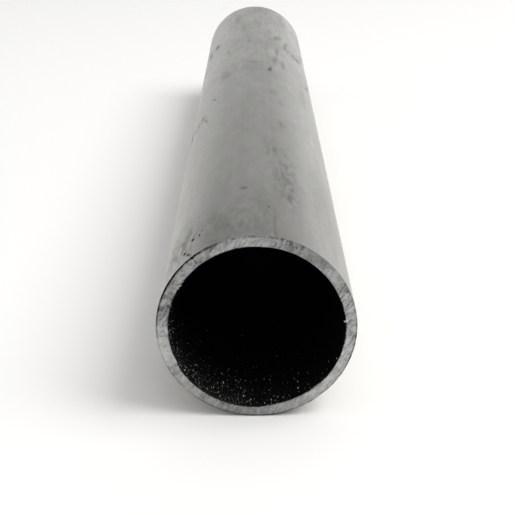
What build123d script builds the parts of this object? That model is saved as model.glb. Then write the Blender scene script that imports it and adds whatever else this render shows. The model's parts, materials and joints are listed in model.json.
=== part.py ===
from build123d import *
import os

# A short length of round steel railing tube, lying on its side.
# It lies along Y, with its front end towards -Y, and +Z is up.
# The origin is on the surface that carries it, under the middle of its length.
# Sizes are in millimetres.

# Driving dimensions
outer_diameter = 42.4
wall = 2.5
length = 290.0

# Edge breaks that a file leaves on the two sawn ends
outer_edge_break = 0.3
inner_edge_break = 0.2

# Sizes that follow from these
outer_radius = outer_diameter / 2
bore_radius = outer_radius - wall

# The sawn front end, with the tube's axis one radius above the surface that it lies on
front_end = Plane(origin=(0, -length / 2, outer_radius), x_dir=(1, 0, 0), z_dir=(0, 1, 0))

# The tube: a ring section drawn out along its axis, with the sharp edges taken off both ends
with BuildPart() as railing_tube:
    with BuildSketch(front_end):
        Circle(outer_radius)
        Circle(bore_radius, mode=Mode.SUBTRACT)
    extrude(amount=length)
    rims = railing_tube.edges().filter_by(GeomType.CIRCLE).group_by(SortBy.RADIUS)
    bore_rims = rims[0]
    outer_rims = rims[-1]
    chamfer(outer_rims, length=outer_edge_break)
    chamfer(bore_rims, length=inner_edge_break)

railing_tube.part.label = "railing_tube"

os.makedirs("parts", exist_ok=True)
export_step(railing_tube.part, "parts/railing_tube.step")
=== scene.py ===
import json
import math
import random

import bmesh
import bpy
from mathutils import Euler, Matrix, Vector, noise


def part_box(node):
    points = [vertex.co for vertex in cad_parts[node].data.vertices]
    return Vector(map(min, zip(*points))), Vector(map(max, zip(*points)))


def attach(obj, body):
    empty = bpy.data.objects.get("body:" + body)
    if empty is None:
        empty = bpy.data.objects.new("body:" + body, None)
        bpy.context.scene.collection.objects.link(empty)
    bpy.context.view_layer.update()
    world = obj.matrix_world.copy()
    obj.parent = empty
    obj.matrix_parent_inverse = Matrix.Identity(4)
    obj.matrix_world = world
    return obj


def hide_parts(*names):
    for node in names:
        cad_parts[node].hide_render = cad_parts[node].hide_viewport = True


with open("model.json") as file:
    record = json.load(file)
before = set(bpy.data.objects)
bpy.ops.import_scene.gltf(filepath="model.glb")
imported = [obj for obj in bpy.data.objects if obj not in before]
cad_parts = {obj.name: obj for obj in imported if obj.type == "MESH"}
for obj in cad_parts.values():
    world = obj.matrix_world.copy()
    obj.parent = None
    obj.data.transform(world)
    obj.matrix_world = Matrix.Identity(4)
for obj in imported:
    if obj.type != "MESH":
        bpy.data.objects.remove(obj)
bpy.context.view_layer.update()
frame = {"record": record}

# Sizes of the tube, read from the frame. Blender works in metres.
MM = 0.001
mounts = {mount["name"]: mount for mount in frame["record"]["mounts"]}
OUTER_RADIUS = mounts["outer_wall"]["dims"]["r_mm"] * MM
BORE_RADIUS = mounts["front_bore"]["dims"]["r_mm"] * MM
tube_low, tube_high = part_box("railing_tube")
HALF_LENGTH = (tube_high.y - tube_low.y) / 2
AXIS_HEIGHT = (tube_high.z + tube_low.z) / 2
OUTER_BREAK = HALF_LENGTH - mounts["outer_wall"]["dims"]["length_mm"] * MM / 2
INNER_BREAK = HALF_LENGTH - mounts["front_bore"]["dims"]["length_mm"] * MM / 2

# Mesh resolution
STEPS_AROUND = 960
CUTS_ON_END = 14
CUTS_ON_BREAK = 1
CUTS_ALONG = 24

# The saw went through both ends with its marks leaning this far from level
SAW_LEAN = math.radians(55)
SAW_PITCH = 0.50 * MM
SAW_STROKE = 2.4 * MM
SAW_DEPTH = 0.03 * MM

# The rolled seam, as an angle from the top towards the right, seen from the front
SEAM_ANGLE = 11.0
SEAM_HALF_WIDTH = 0.9 * MM
SEAM_DEPTH = 0.02 * MM

# Burrs that hang from the front end into the bore: angle, half-width in degrees, reach in millimetres
BURRS = [
    (84.6, 1.0, 0.62),
    (-53.9, 0.9, 0.24),
    (-56.6, 1.1, 0.42),
    (-59.2, 1.0, 0.30),
    (-64.5, 1.6, 0.12),
    (-72.4, 1.2, 0.36),
    (-79.0, 0.8, 0.14),
    (-91.5, 1.2, 0.20),
    (-128.0, 0.7, 0.18),
    (-143.0, 0.9, 0.16),
    (-152.0, 0.8, 0.20),
    (-161.0, 1.4, 0.12),
    (97.5, 3.4, 0.16),
    (147.0, 1.0, 0.12),
]
# A burr dies out over this length of the bore, its edge is ragged over this many degrees,
# and behind the edge break it keeps this share of its reach
BURR_FADE = 0.6 * MM
BURR_RAG = 0.9
BURR_TAPER = 0.8


def linear(code):
    """An sRGB hex colour such as #8a8a88 as linear red, green, blue and alpha."""
    parts = [int(code[i:i + 2], 16) / 255 for i in (1, 3, 5)]
    return [c / 12.92 if c <= 0.04045 else ((c + 0.055) / 1.055) ** 2.4 for c in parts] + [1.0]


def add_node(tree, kind, feeds=None, **settings):
    """Adds one node to a tree, with its settings, and feeds its inputs from sockets or plain values."""
    made = tree.nodes.new(kind)
    for name, value in settings.items():
        setattr(made, name, value)
    for socket, value in (feeds or {}).items():
        if isinstance(value, bpy.types.NodeSocket):
            tree.links.new(value, made.inputs[socket])
        else:
            made.inputs[socket].default_value = value
    return made


def new_material(name):
    """An empty material: its node tree and its principled shader."""
    material = bpy.data.materials.new(name)
    material.use_nodes = True
    tree = material.node_tree
    tree.nodes.clear()
    shader = add_node(tree, "ShaderNodeBsdfPrincipled")
    add_node(tree, "ShaderNodeOutputMaterial", {"Surface": shader.outputs["BSDF"]})
    return material, tree, shader


def lay_patterns(tree, place, sizes):
    """Noise patterns by name, from 0 to 1, with patches of the given width and length in millimetres."""
    patterns = {}
    for name, (width, length, detail) in sizes.items():
        scale = (1 / (width * MM), 1 / (length * MM), 1 / (width * MM))
        laid = add_node(tree, "ShaderNodeMapping", {"Vector": place, "Scale": scale})
        patch = add_node(tree, "ShaderNodeTexNoise",
                         {"Vector": laid.outputs[0], "Scale": 1.0, "Detail": detail})
        patterns[name] = patch.outputs["Fac"]
    return patterns


def weigh(tree, start, weights):
    """A start value plus each pattern times its weight. A pattern's middle value of a half adds nothing."""
    total = start - sum(weight for _, weight in weights) / 2
    for pattern, weight in weights:
        total = add_node(tree, "ShaderNodeMath", {0: pattern, 1: weight, 2: total},
                         operation="MULTIPLY_ADD").outputs[0]
    return total


def shade_between(tree, shader, tone, dark, light):
    """Feeds the shader's colour with a mix of a dark and a light colour."""
    mixed = add_node(tree, "ShaderNodeMix", {"Factor": tone, "A": dark, "B": light}, data_type="RGBA")
    tree.links.new(mixed.outputs[2], shader.inputs["Base Color"])


# Marks on the outer wall: angle from the top, distance from the front end, width and length in millimetres,
# turn in degrees from lengthwise, and how dark the mark is, where less than nothing is a light mark
WALL_MARKS = [
    (14.2, 156.8, 2.1, 9.0, -4, 0.36),
    (15.4, 161.0, 1.3, 7.0, 0, 0.18),
    (-46.5, 226.0, 4.0, 14.0, 9, 0.35),
    (11.0, 4.0, 1.3, 42.0, 0, 0.10),
    (-27.0, 10.0, 20.0, 34.0, 0, 0.03),
    (52.0, 36.0, 16.0, 70.0, 0, 0.06),
    (2.0, 72.0, 11.0, 70.0, 0, -0.05),
    (-4.0, 280.0, 16.0, 80.0, 0, -0.07),
    (-45.0, 5.4, 1.0, 2.0, 20, 0.80),
    (-41.6, 3.0, 1.0, 1.8, 0, 0.95),
    (-39.6, 1.8, 0.8, 1.4, 0, 0.70),
    (-39.2, 9.8, 0.9, 2.0, 0, 0.75),
    (-34.5, 10.0, 0.8, 2.0, 0, 0.60),
    (-32.8, 11.8, 0.7, 1.6, 0, 0.40),
    (-36.8, 22.0, 0.9, 1.8, 0, 0.24),
    (-25.5, 15.0, 0.8, 1.8, 0, 0.24),
    (-58.0, 24.0, 1.6, 15.0, -19, -0.12),
    (-45.2, 110.0, 1.6, 12.0, 12, 0.22),
    (-38.3, 130.0, 1.5, 5.0, 25, 0.46),
    (-7.2, 30.2, 2.8, 3.4, 0, 0.26),
    (7.8, 17.5, 0.9, 1.8, 0, 0.40),
    (18.4, 43.0, 2.0, 4.6, 0, 0.09),
    (20.6, 49.6, 2.4, 5.0, 10, 0.09),
    (21.4, 25.0, 2.2, 4.4, 10, 0.08),
    (8.6, 57.6, 1.8, 4.2, 0, 0.12),
    (20.6, 88.5, 2.6, 5.0, 0, 0.10),
    (21.5, 112.5, 2.4, 8.0, 0, 0.12),
    (15.5, 124.5, 3.4, 12.0, 0, 0.11),
    (-28.0, 156.0, 7.0, 19.0, 8, 0.13),
    (-19.0, 160.0, 1.2, 5.0, 0, 0.20),
    (-2.0, 167.0, 7.0, 6.0, 0, 0.10),
    (28.6, 170.5, 2.8, 17.0, -2, 0.17),
    (64.0, 174.0, 2.0, 20.0, -16, 0.28),
    (20.0, 174.5, 2.8, 22.0, -4, 0.14),
    (26.0, 186.5, 1.5, 18.0, 0, -0.16),
    (16.6, 187.5, 4.2, 26.0, 0, -0.20),
    (-45.8, 193.5, 1.0, 6.0, 0, 0.20),
    (-27.8, 194.0, 1.8, 12.0, 0, 0.18),
    (23.6, 194.0, 2.4, 24.0, -2, 0.16),
    (39.0, 205.0, 1.0, 9.0, 0, 0.16),
    (54.0, 208.0, 3.2, 20.0, -20, 0.27),
    (-6.5, 207.0, 3.0, 9.0, 0, 0.12),
    (34.8, 212.0, 3.2, 26.0, -6, 0.15),
    (29.0, 214.5, 1.6, 7.0, 0, -0.16),
    (62.0, 224.0, 2.0, 26.0, -22, 0.22),
    (66.0, 212.0, 1.8, 24.0, -22, -0.16),
    (25.5, 221.0, 4.6, 20.0, -15, 0.19),
    (16.0, 229.5, 1.6, 9.0, 0, 0.20),
    (-20.5, 261.0, 5.0, 24.0, 0, 0.14),
    (-31.5, 268.0, 1.4, 26.0, 0, 0.12),
    (14.0, 274.0, 1.3, 9.0, 0, 0.16),
]
# Broad smudges on the outer wall, and a line of painted shade along its left side, listed in the same way,
# which a mottled pattern breaks up
WALL_SMUDGES_AND_SHADE = [
    (-10.0, 9.0, 34.0, 44.0, 0, 0.06),
    (19.5, 42.0, 10.0, 66.0, 0, 0.085),
    (23.0, 26.0, 7.0, 26.0, 0, 0.05),
    (11.0, 62.0, 6.0, 26.0, 0, 0.07),
    (-51.0, 12.0, 16.0, 36.0, 0, 0.15),
    (21.5, 88.0, 4.0, 14.0, 0, 0.05),
    # Painted shade: a dark line along the left side, where the wall meets its shadow on the floor
    (-71.0, 116.0, 4.2, 34.0, 0, 0.34),
    (-59.0, 114.0, 4.6, 14.0, -50, 0.26),
    (-51.5, 117.0, 4.0, 10.0, -20, 0.26),
    (36.0, 216.0, 4.0, 22.0, -5, 0.14),
    (45.0, 205.0, 12.0, 22.0, 0, 0.16),
    (-59.0, 225.0, 4.0, 30.0, 6, 0.22),
    (-72.0, 220.0, 4.0, 30.0, 6, -0.14),
    (-12.0, 240.0, 6.0, 34.0, 0, 0.10),
    (34.0, 268.0, 6.0, 36.0, 0, 0.12),
    (4.0, 280.0, 8.0, 18.0, 0, 0.10),
    (52.0, 96.0, 3.0, 24.0, -4, -0.10),
    (48.0, 140.0, 5.0, 40.0, -4, 0.08),
    (-165.0, 120.0, 8.0, 60.0, 0, 0.12),
    (104.0, 210.0, 6.0, 46.0, 0, 0.12),
    (-108.0, 130.0, 6.0, 50.0, 0, 0.12),
]
# Marks on the front end: angle from the top, distance from the axis, width round the axis and height
# along the radius in millimetres, and how dark the mark is
END_MARKS = [
    (-38.5, 20.0, 0.60, 2.4, 0.34),
    (-38.5, 20.9, 1.10, 0.8, 0.45),
    (-26.5, 20.6, 5.00, 1.6, 0.20),
    (-72.8, 19.3, 1.00, 0.8, 0.36),
    (-77.0, 20.2, 1.40, 1.0, 0.14),
    (-67.5, 20.0, 0.80, 1.2, 0.12),
    (-62.5, 19.2, 1.00, 0.7, -0.16),
    (-58.0, 19.0, 1.60, 0.9, -0.20),
    (-94.0, 20.2, 0.60, 1.8, 0.28),
    (-103.0, 20.1, 2.60, 1.6, -0.16),
    (-167.0, 18.95, 0.35, 0.8, -0.35),
    (-163.5, 18.95, 0.30, 0.7, -0.35),
    (11.8, 20.0, 0.70, 3.6, 0.12),
    (20.0, 20.7, 1.50, 1.5, 0.25),
    (24.0, 20.4, 0.90, 1.3, 0.20),
    (27.0, 20.6, 1.20, 1.7, 0.26),
    (49.0, 19.9, 0.50, 1.8, -0.18),
    (52.5, 20.0, 0.45, 1.8, -0.20),
    (64.0, 20.6, 3.00, 1.0, 0.17),
    (84.6, 18.6, 0.75, 1.6, -0.95),
    (102.5, 19.7, 1.50, 1.3, -0.18),
    (100.6, 18.9, 0.45, 0.6, 0.40),
    (108.0, 20.9, 1.70, 0.7, 0.30),
    (113.5, 19.4, 1.60, 0.8, 0.28),
    (133.0, 20.7, 1.30, 0.8, 0.20),
]
# A mark is at full strength out to this share of its half-size, and reaches this far into the steel
MARK_CORE = 0.2
MARK_SINK = 6.0 * MM


def add_marks(tree, place, spots):
    """How dark a list of oval spots makes each point: each spot's middle, turn, half-sizes and darkness."""
    total = 0.0
    for middle, turn, half_sizes, dark in spots:
        laid = add_node(tree, "ShaderNodeMapping",
                        {"Vector": place, "Location": middle, "Rotation": turn.to_euler(),
                         "Scale": half_sizes}, vector_type="TEXTURE")
        off = add_node(tree, "ShaderNodeVectorMath", {0: laid.outputs[0]}, operation="LENGTH")
        mark = add_node(tree, "ShaderNodeMapRange",
                        {"Value": off.outputs["Value"], "From Min": MARK_CORE, "From Max": 1.0,
                         "To Min": dark, "To Max": 0.0}, interpolation_type="SMOOTHSTEP")
        total = add_node(tree, "ShaderNodeMath", {0: total, 1: mark.outputs["Result"]},
                         operation="ADD").outputs[0]
    return total


def round_axis(angle, radius, y):
    """A point at an angle from the top of the tube, and the turn that stands its Z along the radius there."""
    lean = math.radians(angle)
    point = Vector((math.sin(lean) * radius, y, AXIS_HEIGHT + math.cos(lean) * radius))
    return point, Matrix.Rotation(lean, 3, "Y")


def wall_spots(listed):
    """Listed marks as spots that lie on the outer wall."""
    spots = []
    for angle, along, width, length, turn, dark in listed:
        middle, upright = round_axis(angle, OUTER_RADIUS, along * MM - HALF_LENGTH)
        lain = upright @ Matrix.Rotation(math.radians(turn), 3, "Z")
        spots.append((middle, lain, (width / 2 * MM, length / 2 * MM, MARK_SINK), dark))
    return spots


def end_spots():
    """The marks of the front end as spots that lie on it."""
    spots = []
    for angle, radius, width, height, dark in END_MARKS:
        middle, upright = round_axis(angle, radius * MM, -HALF_LENGTH)
        spots.append((middle, upright, (width / 2 * MM, MARK_SINK, height / 2 * MM), dark))
    return spots


def ragged_place(tree, place, cell, reach):
    """A place shifted to and fro, so that spots laid on it get uneven outlines. Sizes are in millimetres."""
    warp = add_node(tree, "ShaderNodeTexNoise", {"Vector": place, "Scale": 1 / (cell * MM), "Detail": 2.0})
    shift = add_node(tree, "ShaderNodeVectorMath",
                     {0: warp.outputs["Color"], 1: (2 * reach * MM,) * 3, 2: place}, operation="MULTIPLY_ADD")
    return add_node(tree, "ShaderNodeVectorMath",
                    {0: shift.outputs[0], 1: (reach * MM,) * 3}, operation="SUBTRACT").outputs[0]


def mill_finish_steel():
    # Cold-rolled steel strip, formed and seam-welded into tube: the eye sees a soft grey sheen,
    # with faint lengthwise streaks from the rolls, cloudy oil stains, a few small knocks,
    # and a line of painted shade along the left side, where the wall meets its shadow.
    material, tree, shader = new_material("mild_steel_mill_finish")
    place = add_node(tree, "ShaderNodeTexCoord").outputs["Object"]
    patterns = lay_patterns(tree, place, {
        "cloud": (8, 25, 3.0),
        "stain": (2.2, 8.0, 4.0),
        "streak": (0.9, 90, 2.0),
        "grain": (0.5, 0.9, 2.0),
        "mottle": (1.1, 3.4, 3.0),
        "tint": (6, 18, 2.0),
    })
    along = add_node(tree, "ShaderNodeSeparateXYZ", {0: place}).outputs["Y"]
    stained = add_node(tree, "ShaderNodeMapRange",
                       {"Value": along, "From Min": -0.2 * HALF_LENGTH, "From Max": 0.3 * HALF_LENGTH,
                        "To Min": 1.3, "To Max": 2.4}).outputs["Result"]
    cloudy = weigh(tree, 0.0, [(patterns["cloud"], 0.34), (patterns["stain"], 0.24)])
    tone = weigh(tree, 0.695, [(patterns["streak"], 0.10), (patterns["grain"], 0.18)])
    tone = add_node(tree, "ShaderNodeMath", {0: cloudy, 1: stained, 2: tone},
                    operation="MULTIPLY_ADD").outputs[0]
    paler = add_node(tree, "ShaderNodeMapRange",
                     {"Value": along, "From Min": -0.15 * HALF_LENGTH, "From Max": 0.45 * HALF_LENGTH,
                      "To Min": 0.0, "To Max": 0.05}).outputs["Result"]
    tone = add_node(tree, "ShaderNodeMath", {0: tone, 1: paler}, operation="ADD").outputs[0]

    ragged = ragged_place(tree, place, 1.3, 0.3)
    broken = add_node(tree, "ShaderNodeMapRange",
                      {"Value": patterns["mottle"], "From Min": 0.34, "From Max": 0.68,
                       "To Min": 0.0, "To Max": 2.0}, interpolation_type="SMOOTHSTEP").outputs["Result"]
    # Smudges, with the line of painted shade along the left side, broken up by the mottle, and the marks
    smudges_and_shade = add_marks(tree, ragged, wall_spots(WALL_SMUDGES_AND_SHADE))
    marks = add_marks(tree, ragged, wall_spots(WALL_MARKS))
    dirt_and_shade = add_node(tree, "ShaderNodeMath", {0: smudges_and_shade, 1: broken, 2: marks},
                    operation="MULTIPLY_ADD").outputs[0]
    tone = add_node(tree, "ShaderNodeMath", {0: tone, 1: dirt_and_shade}, operation="SUBTRACT").outputs[0]
    light = add_node(tree, "ShaderNodeMix",
                     {"Factor": patterns["tint"], "A": linear("#c8cbc1"), "B": linear("#ccc7c7")},
                     data_type="RGBA")
    shade_between(tree, shader, tone, linear("#3c3c38"), light.outputs[2])
    unmarked = add_node(tree, "ShaderNodeMapRange",
                     {"Value": dirt_and_shade, "From Min": 0.0, "From Max": 1.0, "To Min": 1.0, "To Max": 0.0})
    tree.links.new(unmarked.outputs["Result"], shader.inputs["Specular Tint"])
    rough = weigh(tree, 0.37, [(patterns["cloud"], 0.10), (patterns["stain"], 0.06)])
    tree.links.new(rough, shader.inputs["Roughness"])
    shader.inputs["Metallic"].default_value = 1.0
    height = weigh(tree, 0.5, [(patterns["streak"], 0.6), (patterns["grain"], 0.4)])
    bump = add_node(tree, "ShaderNodeBump", {"Height": height, "Distance": 0.006 * MM})
    tree.links.new(bump.outputs["Normal"], shader.inputs["Normal"])
    return material


# Sectors of the front end that are cleaner or dirtier: middle angle, half-width in degrees,
# and lightness added
END_SECTORS = [
    (-170, 24, -0.10),
    (-153, 12, -0.06),
    (-104, 11, 0.22),
    (-87, 8, 0.14),
    (-72, 18, -0.17),
    (-55, 7, -0.12),
    (-32, 12, -0.14),
    (29, 22, -0.14),
    (45, 7, -0.08),
    (62, 8, -0.06),
    (122, 36, 0.17),
]
# Where the outer edge of both ends is drawn darker, low down by the floor as painted contact shadow: middle
# angle, half-width in degrees, and lightness added
OUTER_EDGE_DARKENING = [
    (-56, 24, -0.58),
    (-86, 16, -0.34),
    (-24, 16, -0.10),
    (8, 22, -0.20),
    (28, 12, -0.06),
    (102, 22, -0.30),
    (120, 14, -0.20),
    (146, 24, -0.20),
    # Painted contact shadow where the bottom of the outer edge meets the floor
    (174, 26, -0.40),
    (-156, 20, -0.30),
]
# Painted highlight and painted shade on the inner edge of both ends: middle angle, half-width in degrees,
# and lightness added
LIP_HIGHLIGHT_AND_SHADE = [
    # Painted highlight where the inner edge catches the light on the upper right
    (60, 38, 0.35),
    # Painted shade where the inner edge rounds over at the top
    (-12, 16, -0.40),
]
# Where black dirt covers the inner edge of both ends: middle angle, half-width in degrees,
# and reach in metres
LIP_DIRT = [
    (-152, 46, 0.23 * MM),
    (104, 50, 0.14 * MM),
]
# Where the saw marks stand out more or less: middle angle, half-width in degrees, and strength added
DEEP_MARKS = [
    (88, 34, 0.9),
    (-84, 26, 0.3),
    (38, 20, -0.6),
    (-158, 34, -0.4),
]
# A sector is at full strength out to this share of its half-width
SECTOR_CORE = 0.4


def polar_place(tree, place):
    """A place as its angle from the top in degrees, its distance from the axis, and its distance along it."""
    from_axis = add_node(tree, "ShaderNodeMapping",
                         {"Vector": place, "Location": (0, 0, -AXIS_HEIGHT)}).outputs[0]
    parts = add_node(tree, "ShaderNodeSeparateXYZ", {0: from_axis})
    turn = add_node(tree, "ShaderNodeMath", {0: parts.outputs["X"], 1: parts.outputs["Z"]},
                    operation="ARCTAN2")
    angle = add_node(tree, "ShaderNodeMath", {0: turn.outputs[0]}, operation="DEGREES").outputs[0]
    flat = add_node(tree, "ShaderNodeVectorMath", {0: from_axis, 1: (1, 0, 1)}, operation="MULTIPLY")
    radius = add_node(tree, "ShaderNodeVectorMath", {0: flat.outputs[0]}, operation="LENGTH").outputs["Value"]
    return angle, radius, parts.outputs["Y"]


def sectors(tree, angle, listed):
    """The sum of sectors round the axis, each strongest at its middle and gone at its sides."""
    total = 0.0
    for middle, half_width, amount in listed:
        off = add_node(tree, "ShaderNodeMath", {0: angle, 1: float(middle)}, operation="SUBTRACT").outputs[0]
        turn = add_node(tree, "ShaderNodeMath", {0: off, 1: 180.0, 2: -180.0}, operation="WRAP").outputs[0]
        size = add_node(tree, "ShaderNodeMath", {0: turn}, operation="ABSOLUTE").outputs[0]
        share = add_node(tree, "ShaderNodeMapRange",
                         {"Value": size, "From Min": half_width * SECTOR_CORE, "From Max": float(half_width),
                          "To Min": amount, "To Max": 0.0}, interpolation_type="SMOOTHSTEP").outputs["Result"]
        total = add_node(tree, "ShaderNodeMath", {0: total, 1: share}, operation="ADD").outputs[0]
    return total


def saw_cut_steel():
    # Mild steel cut by a band saw and left: the eye sees bright, straight saw marks that lean one way,
    # broken into dull and clean patches, a darker outer edge with painted contact shadow low down by the
    # floor, painted highlight and shade on the inner edge, and dirt over parts of the inner one.
    material, tree, shader = new_material("mild_steel_saw_cut")
    place = add_node(tree, "ShaderNodeTexCoord").outputs["Object"]
    angle, radius, along = polar_place(tree, place)
    front = add_node(tree, "ShaderNodeMath", {0: along, 1: 0.0}, operation="LESS_THAN").outputs[0]

    leaning = add_node(tree, "ShaderNodeMapping", {"Vector": place, "Rotation": (0, SAW_LEAN, 0)}).outputs[0]
    marks = {}
    for name, pitch, stroke in (("fine", 0.22, 0.9), ("coarse", 0.55, 2.2)):
        scale = (1 / (stroke * MM), 1 / (stroke * MM), 1 / (pitch * MM))
        laid = add_node(tree, "ShaderNodeMapping", {"Vector": leaning, "Scale": scale})
        line = add_node(tree, "ShaderNodeTexNoise",
                        {"Vector": laid.outputs[0], "Scale": 1.0, "Detail": 2.0})
        marks[name] = line.outputs["Fac"]
    patterns = lay_patterns(tree, place, {
        "blotch": (1.7, 1.7, 3.0),
        "speck": (0.5, 0.5, 2.0),
        "sweep": (6, 6, 1.0),
        "dust": (0.24, 0.24, 1.0),
    })

    wander = weigh(tree, 0.0, [(patterns["sweep"], 26.0), (patterns["blotch"], 14.0)])
    bent = add_node(tree, "ShaderNodeMath", {0: angle, 1: wander}, operation="ADD").outputs[0]
    patchy = sectors(tree, bent, END_SECTORS)
    patchy = add_node(tree, "ShaderNodeMath",
                      {0: patchy, 1: add_marks(tree, ragged_place(tree, place, 0.8, 0.2), end_spots())},
                      operation="SUBTRACT").outputs[0]
    strokes = weigh(tree, 0.0, [(marks["fine"], 0.70), (marks["coarse"], 0.85)])
    deep = add_node(tree, "ShaderNodeMath", {0: sectors(tree, angle, DEEP_MARKS), 1: 1.0},
                    operation="ADD").outputs[0]
    strokes = add_node(tree, "ShaderNodeMath", {0: strokes, 1: deep}, operation="MULTIPLY").outputs[0]
    tone = weigh(tree, 0.59, [(patterns["blotch"], 0.60), (patterns["speck"], 0.56)])
    tone = add_node(tree, "ShaderNodeMath", {0: tone, 1: strokes}, operation="ADD").outputs[0]
    tone = add_node(tree, "ShaderNodeMath", {0: patchy, 1: front, 2: tone},
                    operation="MULTIPLY_ADD").outputs[0]

    rough = weigh(tree, 0.45, [(patterns["blotch"], 0.16), (marks["coarse"], 0.10)])
    # Each edge: the radii where its tint starts and where it is full, its sectors and its added roughness
    edges = [
        (OUTER_RADIUS - 1.7 * OUTER_BREAK, OUTER_RADIUS - 0.7 * OUTER_BREAK, OUTER_EDGE_DARKENING, 0.25),
        (BORE_RADIUS + 1.8 * INNER_BREAK, BORE_RADIUS + 0.7 * INNER_BREAK, LIP_HIGHLIGHT_AND_SHADE, 0.0),
    ]
    for start, full, listed, roughened in edges:
        edge = add_node(tree, "ShaderNodeMapRange",
                        {"Value": radius, "From Min": start, "From Max": full, "To Min": 0.0, "To Max": 1.0},
                        interpolation_type="SMOOTHSTEP").outputs["Result"]
        tone = add_node(tree, "ShaderNodeMath", {0: edge, 1: sectors(tree, bent, listed), 2: tone},
                        operation="MULTIPLY_ADD").outputs[0]
        rough = add_node(tree, "ShaderNodeMath", {0: edge, 1: roughened, 2: rough},
                         operation="MULTIPLY_ADD").outputs[0]

    reach = sectors(tree, bent, LIP_DIRT)
    dirty = add_node(tree, "ShaderNodeMapRange",
                     {"Value": reach, "From Min": 0.0, "From Max": 0.15 * MM, "To Min": 0.0, "To Max": -1.2})
    uneven = add_node(tree, "ShaderNodeMath", {0: patterns["speck"], 1: 0.3 * MM, 2: radius},
                      operation="MULTIPLY_ADD")
    clear = add_node(tree, "ShaderNodeMath", {0: uneven.outputs[0], 1: reach}, operation="SUBTRACT")
    grains = add_node(tree, "ShaderNodeMapRange",
                      {"Value": patterns["dust"], "From Min": 0.52, "From Max": 0.72,
                       "To Min": 1.0, "To Max": 0.45})
    covered = add_node(tree, "ShaderNodeMapRange",
                       {"Value": clear.outputs[0], "From Min": BORE_RADIUS + 0.10 * MM,
                        "From Max": BORE_RADIUS + 0.25 * MM,
                        "To Min": grains.outputs["Result"], "To Max": 0.0})
    tone = add_node(tree, "ShaderNodeMath",
                    {0: covered.outputs["Result"], 1: dirty.outputs["Result"], 2: tone},
                    operation="MULTIPLY_ADD").outputs[0]
    shade_between(tree, shader, tone, linear("#1e1e1d"), linear("#bdbebc"))
    tree.links.new(rough, shader.inputs["Roughness"])
    shader.inputs["Metallic"].default_value = 1.0
    height = weigh(tree, 0.5, [(marks["fine"], 0.7), (patterns["speck"], 0.3)])
    bump = add_node(tree, "ShaderNodeBump", {"Height": height, "Distance": 0.03 * MM})
    tree.links.new(bump.outputs["Normal"], shader.inputs["Normal"])
    return material


# Where grit lies in the mouths of the bore: middle angle, half-width in degrees, and how thick it lies
GRIT_SECTORS = [
    (-142, 46, 0.27),
    (-176, 34, 0.18),
    (-104, 26, 0.22),
    (148, 24, 0.08),
]
GRIT_DEPTH = 12.0 * MM


def scaled_bore_steel():
    # Black mill scale and old oil on the inside of the tube: the eye sees a matt near-black,
    # with a grey grit of saw dust just inside the mouths, low down.
    material, tree, shader = new_material("mild_steel_black_scale")
    place = add_node(tree, "ShaderNodeTexCoord").outputs["Object"]
    angle, _, along = polar_place(tree, place)
    patterns = lay_patterns(tree, place, {
        "crust": (0.8, 1.6, 3.0),
        "run": (1.2, 40, 2.0),
        "grit": (0.24, 0.9, 1.0),
    })
    tone = weigh(tree, 0.008, [(patterns["crust"], 0.04), (patterns["run"], 0.01)])
    from_middle = add_node(tree, "ShaderNodeMath", {0: along}, operation="ABSOLUTE").outputs[0]
    near = add_node(tree, "ShaderNodeMapRange",
                    {"Value": from_middle, "From Min": HALF_LENGTH - GRIT_DEPTH, "From Max": HALF_LENGTH,
                     "To Min": 0.0, "To Max": 1.0})
    thick = add_node(tree, "ShaderNodeMath",
                     {0: near.outputs["Result"], 1: sectors(tree, angle, GRIT_SECTORS)}, operation="MULTIPLY")
    grains = add_node(tree, "ShaderNodeMapRange",
                      {"Value": patterns["grit"], "From Min": 0.54, "From Max": 0.74,
                       "To Min": 0.0, "To Max": 1.0})
    tone = add_node(tree, "ShaderNodeMath", {0: thick.outputs[0], 1: grains.outputs["Result"], 2: tone},
                    operation="MULTIPLY_ADD").outputs[0]
    shade_between(tree, shader, tone, linear("#020202"), linear("#6a6963"))
    shader.inputs["Roughness"].default_value = 0.8
    shader.inputs["Specular IOR Level"].default_value = 0.06
    bump = add_node(tree, "ShaderNodeBump", {"Height": patterns["crust"], "Distance": 0.08 * MM})
    tree.links.new(bump.outputs["Normal"], shader.inputs["Normal"])
    return material


FLAKE_SHINE = "flake_shine"


def loose_scale():
    # Flakes of mill scale and saw dust that cling to the oily bore: the eye sees small grey glints.
    material, tree, shader = new_material("mill_scale_flakes")
    shine = add_node(tree, "ShaderNodeAttribute", attribute_name=FLAKE_SHINE)
    shade_between(tree, shader, shine.outputs["Fac"], linear("#121211"), linear("#f0efea"))
    shader.inputs["Metallic"].default_value = 0.4
    shader.inputs["Roughness"].default_value = 0.45
    return material


def section_sides():
    """The sides of the wall's section in order: the end and corner each starts at, and its cuts."""
    return [
        (-1, "wall", CUTS_ALONG),
        (1, "wall", CUTS_ON_BREAK),
        (1, "rim", CUTS_ON_END),
        (1, "lip", CUTS_ON_BREAK),
        (1, "bore", CUTS_ALONG),
        (-1, "bore", CUTS_ON_BREAK),
        (-1, "lip", CUTS_ON_END),
        (-1, "rim", CUTS_ON_BREAK),
    ]


def plain_corner(end, corner):
    """A corner of the section as (distance along, radius), with the edge breaks at their drawn size."""
    back_off, radius = {
        "wall": (OUTER_BREAK, OUTER_RADIUS),
        "rim": (0.0, OUTER_RADIUS - OUTER_BREAK),
        "lip": (0.0, BORE_RADIUS + INNER_BREAK),
        "bore": (INNER_BREAK, BORE_RADIUS),
    }[corner]
    return end * (HALF_LENGTH - back_off), radius


def crowd_to_ends(share):
    """Moves evenly spaced shares of a length towards both of its ends."""
    if share < 0.5:
        return 4 * share ** 3
    return 1 - 4 * (1 - share) ** 3


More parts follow.
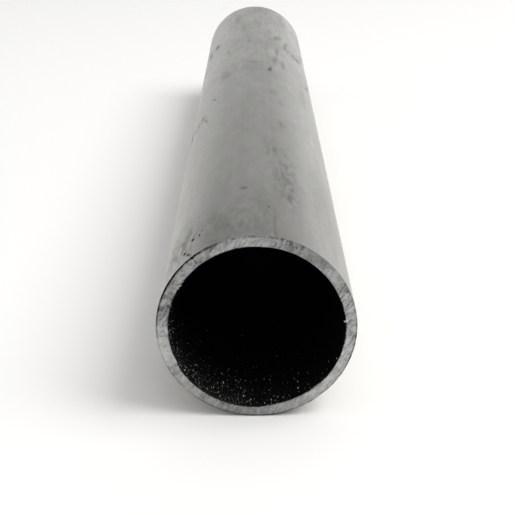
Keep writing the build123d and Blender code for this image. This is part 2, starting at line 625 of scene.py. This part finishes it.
def section_rings():
    """Each ring of the tube: its two corners, and its share of the way from the first to the second."""
    sides = section_sides()
    rings = []
    for (end, corner, cuts), (next_end, next_corner, _) in zip(sides, sides[1:] + sides[:1]):
        for step in range(cuts + 1):
            share = step / (cuts + 1)
            if end != next_end:
                share = crowd_to_ends(share)
            rings.append(((end, corner), (next_end, next_corner), share))
    return rings


def ring_place(ring):
    """A ring's plain place as (distance along, radius)."""
    first, second, share = ring
    y, radius = plain_corner(*first)
    next_y, next_radius = plain_corner(*second)
    return y + (next_y - y) * share, radius + (next_radius - radius) * share


def turned_tube(bm, rings):
    """Draws a circle out from ring to ring round the wall's section, and joins the last ring to the first."""
    about_axis = Matrix.Translation((0, 0, -AXIS_HEIGHT))
    y, radius = ring_place(rings[0])
    lay_down = Matrix.Translation((0, y, AXIS_HEIGHT)) @ Matrix.Rotation(math.pi / 2, 4, "X")
    verts = bmesh.ops.create_circle(bm, radius=radius, segments=STEPS_AROUND, matrix=lay_down)["verts"]
    first = edges = bm.edges[:]
    loops = [verts]
    for ring in rings[1:]:
        next_y, next_radius = ring_place(ring)
        grown = bmesh.ops.extrude_edge_only(bm, edges=edges)["geom"]
        edges = [part for part in grown if isinstance(part, bmesh.types.BMEdge)]
        verts = [part for part in grown if isinstance(part, bmesh.types.BMVert)]
        ratio = next_radius / radius
        bmesh.ops.scale(bm, verts=verts, vec=(ratio, 1, ratio), space=about_axis)
        bmesh.ops.translate(bm, verts=verts, vec=(0, next_y - y, 0))
        loops.append(verts)
        y, radius = next_y, next_radius
    bmesh.ops.bridge_loops(bm, edges=first + edges)
    return loops


# How long the file's strokes are along an edge, and what share of an edge break they leave or add
FILE_STROKE = 2.4 * MM
FILE_SPREAD = 0.55
# The crust in the bore: how wide its lumps are, how high they stand, and how far in from the mouths it fades
CRUST_SIZE = 1.3 * MM
CRUST_HEIGHT = 0.06 * MM
CRUST_DEPTH = 25.0 * MM


def worn_corner(end, corner, lean):
    """A corner of the section at one angle round the axis, with the file's uneven strokes and the burrs."""
    y, radius = plain_corner(end, corner)
    around = Vector((math.sin(lean), math.cos(lean), 0))
    stroke = noise.noise(around * (OUTER_RADIUS / FILE_STROKE) + Vector((0, 0, 10.0 * end)))
    if corner == "wall":
        y -= end * OUTER_BREAK * FILE_SPREAD * stroke
    elif corner == "rim":
        radius -= OUTER_BREAK * FILE_SPREAD * stroke
    elif corner == "lip":
        radius += INNER_BREAK * FILE_SPREAD * stroke - burr_reach(end, lean)
    else:
        y -= end * INNER_BREAK * FILE_SPREAD * stroke
        radius -= BURR_TAPER * burr_reach(end, lean)
    return y, radius


def burr_reach(end, lean):
    """How far burrs hang into the bore at one angle round the front end."""
    if end > 0:
        return 0.0
    reach = 0.0
    for angle, half_width, height in BURRS:
        off = (math.degrees(lean) - angle + 180) % 360 - 180
        if abs(off) < half_width:
            ragged = 0.75 + 0.25 * noise.noise(Vector((math.degrees(lean) / BURR_RAG, 0, 0)))
            reach = max(reach, height * MM * ragged * (1 - (off / half_width) ** 4))
    return reach


def saw_sink(x, z, end):
    """How deep the saw cut into an end at one point of it."""
    along = x * math.cos(SAW_LEAN) + z * math.sin(SAW_LEAN)
    across = x * math.sin(SAW_LEAN) - z * math.cos(SAW_LEAN)
    tooth = noise.noise(Vector((across / SAW_PITCH, along / SAW_STROKE, 20.0 * end)))
    sway = noise.noise(Vector((across / SAW_PITCH / 3, along / SAW_STROKE, 40.0 * end)))
    return SAW_DEPTH * max(0.0, 0.5 + 0.45 * tooth + 0.45 * sway)


def work_surface(rings, loops):
    """Moves each point of the plain tube to where the saw, the file and the mill left it."""
    for (first, second, share), verts in zip(rings, loops):
        between_ends = first[0] != second[0]
        for vert in verts:
            x, z = vert.co.x, vert.co.z - AXIS_HEIGHT
            lean = math.atan2(x, z)
            y, radius = worn_corner(*first, lean)
            next_y, next_radius = worn_corner(*second, lean)
            if between_ends and "bore" in first:
                plain_y = vert.co.y
                mouth = HALF_LENGTH - abs(plain_y)
                fade = math.exp(-mouth / BURR_FADE)
                near = radius if plain_y * y > 0 else next_radius
                radius = BORE_RADIUS + (near - BORE_RADIUS) * fade
                crust = noise.noise(Vector((x, plain_y / 3, z)) / CRUST_SIZE)
                radius += CRUST_HEIGHT * crust * math.exp(-mouth / CRUST_DEPTH) * (1 - fade)
            else:
                radius += (next_radius - radius) * share
            y += (next_y - y) * share
            if between_ends and "wall" in first:
                off = ((math.degrees(lean) - SEAM_ANGLE + 180) % 360 - 180) / 180 * math.pi * OUTER_RADIUS
                if abs(off) < SEAM_HALF_WIDTH:
                    radius -= SEAM_DEPTH * (1 - (off / SEAM_HALF_WIDTH) ** 2) ** 2
            if not between_ends:
                y -= first[0] * saw_sink(x, z, first[0])
            vert.co = (math.sin(lean) * radius, y, AXIS_HEIGHT + math.cos(lean) * radius)


# Faces that lean this far towards an end are sawn, and edges that bend more than this are drawn sharp
END_FACING = 0.3
SHARP_EDGE = math.radians(40)
# The places of two steels in the tube's list of materials, where the wall's is the first
SAWN_PLACE = 1
SCALED_PLACE = 2


def make_tube():
    bm = bmesh.new()
    rings = section_rings()
    loops = turned_tube(bm, rings)
    bmesh.ops.recalc_face_normals(bm, faces=bm.faces)
    for face in bm.faces:
        face.smooth = True
        middle = face.calc_center_median()
        if abs(face.normal.y) > END_FACING:
            face.material_index = SAWN_PLACE
        elif math.hypot(middle.x, middle.z - AXIS_HEIGHT) < (OUTER_RADIUS + BORE_RADIUS) / 2:
            face.material_index = SCALED_PLACE
    work_surface(rings, loops)
    bm.normal_update()
    for edge in bm.edges:
        edge.smooth = edge.calc_face_angle(0) < SHARP_EDGE
    mesh = bpy.data.meshes.new("railing_tube_steel")
    bm.to_mesh(mesh)
    bm.free()
    for material in (mill_finish_steel(), saw_cut_steel(), scaled_bore_steel()):
        mesh.materials.append(material)
    tube = bpy.data.objects.new("railing_tube_steel", mesh)
    bpy.context.scene.collection.objects.link(tube)
    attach(tube, "root")
    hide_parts("railing_tube")


# Drifts of loose flakes in the bore: which end, how many, middle angle and spread in degrees,
# and usual depth in millimetres
FLAKE_DRIFTS = [
    (-1, 380, -138, 26, 5.8),
    (-1, 250, -165, 24, 6.2),
    (-1, 110, -104, 14, 5.0),
    (-1, 60, 146, 18, 7.0),
    (1, 320, 180, 40, 6.0),
]
# The least and the most of a flake's radius in millimetres, and of its stretch along the bore
FLAKE_RADIUS = (0.04, 0.12)
FLAKE_STRETCH = (1.2, 5.0)
# A flake's shine is a random share to this power, so that few are bright
FLAKE_DULLING = 4
FLAKE_SEED = 7


def make_flakes():
    """Small flat-sided flakes, half sunk in the bore, in one joined mesh."""
    bm = bmesh.new()
    shine = bm.faces.layers.float.new(FLAKE_SHINE)
    draw = random.Random(FLAKE_SEED)
    for end, count, middle, spread, usual_depth in FLAKE_DRIFTS:
        for _ in range(count):
            size = draw.uniform(*FLAKE_RADIUS) * MM
            reach = size * draw.uniform(*FLAKE_STRETCH)
            depth = INNER_BREAK + reach + draw.expovariate(1 / (usual_depth * MM))
            spot, upright = round_axis(draw.gauss(middle, spread), BORE_RADIUS, end * (HALF_LENGTH - depth))
            spin = Euler([draw.uniform(0, math.tau) for _ in range(3)]).to_matrix().to_4x4()
            shape = Matrix.LocRotScale(spot, upright, (size, reach, size))
            verts = bmesh.ops.create_icosphere(bm, subdivisions=1, radius=1, matrix=shape @ spin)["verts"]
            level = draw.random() ** FLAKE_DULLING
            for vert in verts:
                for face in vert.link_faces:
                    face[shine] = level
    bmesh.ops.recalc_face_normals(bm, faces=bm.faces)
    mesh = bpy.data.meshes.new("bore_scale_flakes")
    bm.to_mesh(mesh)
    bm.free()
    mesh.materials.append(loose_scale())
    flakes = bpy.data.objects.new("bore_scale_flakes", mesh)
    bpy.context.scene.collection.objects.link(flakes)
    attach(flakes, "root")


# The camera, from a fit of both ends of the tube in the photograph
IMAGE_WIDTH = 515
FOCAL_PIXELS = 990.2
SENSOR_WIDTH = 36.0
CAMERA_FROM_FRONT_END = Vector((0.14, -185.27, 95.58)) * MM
CAMERA_PITCH = 0.4036
CAMERA_YAW = -0.0008
CAMERA_ROLL = -0.0071
# Nothing nearer to the camera than this is drawn
CLIP_START = 0.01


def add_camera():
    lens = bpy.data.cameras.new("camera")
    lens.sensor_width = SENSOR_WIDTH
    lens.sensor_fit = "HORIZONTAL"
    lens.lens = FOCAL_PIXELS / IMAGE_WIDTH * SENSOR_WIDTH
    lens.clip_start = CLIP_START
    camera = bpy.data.objects.new("camera", lens)
    front_end = Vector((0, -HALF_LENGTH, AXIS_HEIGHT))
    turn = Euler((math.pi / 2 - CAMERA_PITCH, 0, CAMERA_YAW)).to_matrix()
    roll = Matrix.Rotation(CAMERA_ROLL, 3, "Z")
    camera.matrix_world = Matrix.LocRotScale(front_end + CAMERA_FROM_FRONT_END, turn @ roll, None)
    bpy.context.scene.collection.objects.link(camera)
    bpy.context.scene.camera = camera


FLOOR_RADIUS = 1.5
FLOOR_SEGMENTS = 128


def add_floor():
    bm = bmesh.new()
    bmesh.ops.create_circle(bm, cap_ends=True, radius=FLOOR_RADIUS, segments=FLOOR_SEGMENTS)
    mesh = bpy.data.meshes.new("floor")
    bm.to_mesh(mesh)
    bm.free()
    # Matt white paper: the eye sees an even white that takes soft shadows.
    material, _, shader = new_material("white_paper")
    shader.inputs["Base Color"].default_value = linear("#fffefc")
    shader.inputs["Roughness"].default_value = 0.9
    shader.inputs["Specular IOR Level"].default_value = 0.0
    mesh.materials.append(material)
    floor = bpy.data.objects.new("floor", mesh)
    bpy.context.scene.collection.objects.link(floor)


# The studio: white low down all round, dim above that, brighter again overhead and behind the tube,
# with a dark flag behind it on the left
UP = Vector((0, 0, 1))
BEHIND = Vector((0, 1, 0))
HORIZON_LEVEL = 1.08
DIM_LEVEL = 0.25
HORIZON_TOP = math.radians(5)
DIM_FOOT = math.radians(14)
CEILING_LEVEL = 0.46
CEILING_RIM = math.radians(34)
CEILING_CORE = math.radians(60)
BACKDROP_GLOW = 0.28
GLOW_CORE = math.radians(10)
GLOW_RIM = math.radians(38)
FLAG_WAY = Vector((-0.77, 0.64, 0.09)).normalized()
FLAG_LOSS = 0.34
FLAG_CORE = math.radians(15)
FLAG_RIM = math.radians(45)


def add_world():
    world = bpy.data.worlds.new("studio")
    bpy.context.scene.world = world
    world.use_nodes = True
    tree = world.node_tree
    tree.nodes.clear()
    way = add_node(tree, "ShaderNodeTexCoord").outputs["Generated"]
    bands = [
        (UP, math.sin(HORIZON_TOP), math.sin(DIM_FOOT), HORIZON_LEVEL, DIM_LEVEL),
        (UP, math.sin(CEILING_RIM), math.sin(CEILING_CORE), 0.0, CEILING_LEVEL),
        (BEHIND, math.cos(GLOW_RIM), math.cos(GLOW_CORE), 0.0, BACKDROP_GLOW),
        (FLAG_WAY, math.cos(FLAG_RIM), math.cos(FLAG_CORE), 0.0, -FLAG_LOSS),
    ]
    level = 0.0
    for axis, start, end, start_level, end_level in bands:
        reach = add_node(tree, "ShaderNodeVectorMath", {0: way, 1: axis}, operation="DOT_PRODUCT")
        band = add_node(tree, "ShaderNodeMapRange",
                        {"Value": reach.outputs["Value"], "From Min": start, "From Max": end,
                         "To Min": start_level, "To Max": end_level}, interpolation_type="SMOOTHSTEP")
        level = add_node(tree, "ShaderNodeMath", {0: level, 1: band.outputs["Result"]},
                         operation="ADD").outputs[0]
    level = add_node(tree, "ShaderNodeMath", {0: level, 1: 0.0}, operation="MAXIMUM").outputs[0]
    light = add_node(tree, "ShaderNodeBackground", {"Color": (1, 1, 1, 1), "Strength": level})
    add_node(tree, "ShaderNodeOutputWorld", {"Surface": light.outputs["Background"]})


# Softboxes are aimed at the front half of the tube. A bearing is turned from behind the tube
# towards the right.
SOFTBOX_AIM = Vector((0, -0.05, 0))
SOFTBOX_DISTANCE = 2.0


def add_softbox(name, bearing, elevation, width, height, power):
    lamp = bpy.data.lights.new(name, "AREA")
    lamp.shape = "RECTANGLE"
    lamp.size = width
    lamp.size_y = height
    lamp.energy = power
    turn = math.radians(bearing)
    rise = math.radians(elevation)
    way = Vector((math.cos(rise) * math.sin(turn), math.cos(rise) * math.cos(turn), math.sin(rise)))
    softbox = bpy.data.objects.new(name, lamp)
    softbox.matrix_world = Matrix.LocRotScale(SOFTBOX_AIM + way * SOFTBOX_DISTANCE,
                                              (-way).to_track_quat("-Z", "Y"), None)
    bpy.context.scene.collection.objects.link(softbox)


make_tube()
make_flakes()
add_floor()
add_world()
add_softbox("key_softbox", bearing=104, elevation=52, width=1.3, height=1.33, power=25.6)
add_softbox("fill_softbox", bearing=270, elevation=30, width=0.8, height=0.8, power=2.7)
add_softbox("front_softbox", bearing=155, elevation=58, width=1.07, height=1.07, power=3.8)
add_camera()

bpy.context.scene.view_settings.view_transform = "Standard"
